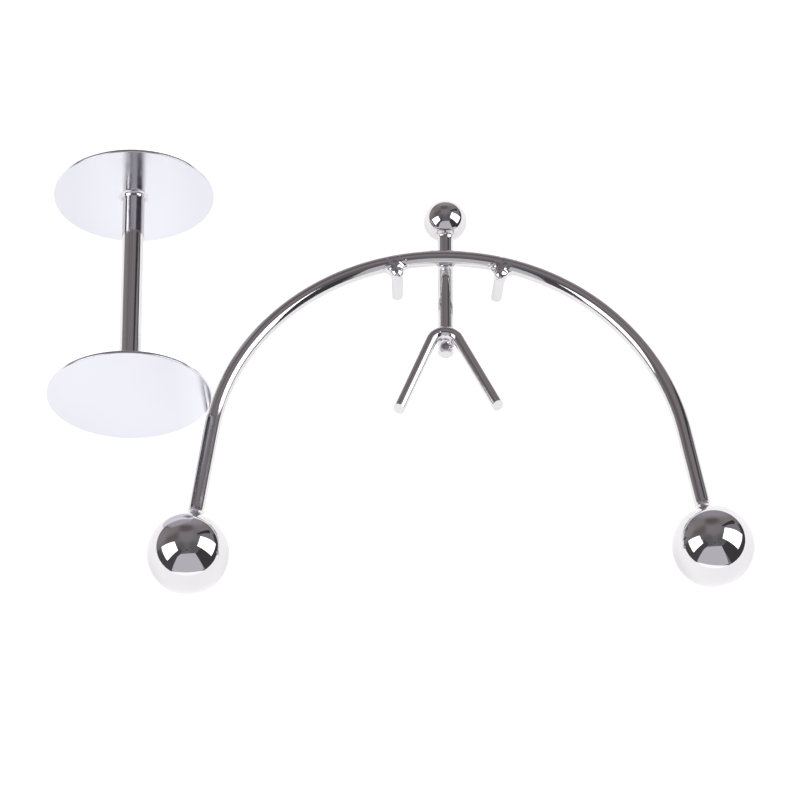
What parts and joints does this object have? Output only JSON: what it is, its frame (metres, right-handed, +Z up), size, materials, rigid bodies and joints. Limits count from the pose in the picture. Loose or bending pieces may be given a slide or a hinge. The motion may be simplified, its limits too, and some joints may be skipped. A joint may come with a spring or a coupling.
{
  "type": "balance toy",
  "caption": "Chromed steel weightlifter balance toy laid out in its two loose pieces: a stand of two discs on a post, and a little man on a bowed bar with a heavy ball at each end.",
  "frame": {"origin": "on the table, under the middle of the box round both pieces", "axes": "+Z up from the table, +Y along the stand's axis and towards the man's head, +X along the line through the two big balls, from the man's left ball to the right one as seen from above"},
  "size_m": [0.17, 0.1128, 0.04],
  "materials": {
    "plate_chrome": "mirror polish",
    "rod_chrome": "mirror polish",
    "ball_chrome": "mirror polish",
    "weld_chrome": "mirror polish"
  },
  "bodies": {
    "stand": {"base_plate": "plate_chrome", "top_plate": "plate_chrome", "post": "rod_chrome", "base_weld": "weld_chrome", "top_weld": "weld_chrome"},
    "figure": {"balance_bar": "rod_chrome", "body_rod": "rod_chrome", "leg_wire": "rod_chrome", "left_arm": "rod_chrome", "right_arm": "rod_chrome", "left_ball": "ball_chrome", "right_ball": "ball_chrome", "head_ball": "ball_chrome", "left_ball_weld": "weld_chrome", "right_ball_weld": "weld_chrome", "head_ball_weld": "weld_chrome", "body_weld": "weld_chrome", "leg_weld": "weld_chrome", "left_arm_weld": "weld_chrome", "right_arm_weld": "weld_chrome"}
  },
  "joints": [
    {"name": "sway", "type": "hinge", "parent": "stand", "child": "figure", "pos_m": [0.0001, -0.0071, 0.01], "axis": [0, 0, 1], "range_deg": [0, 11.5]}
  ]
}
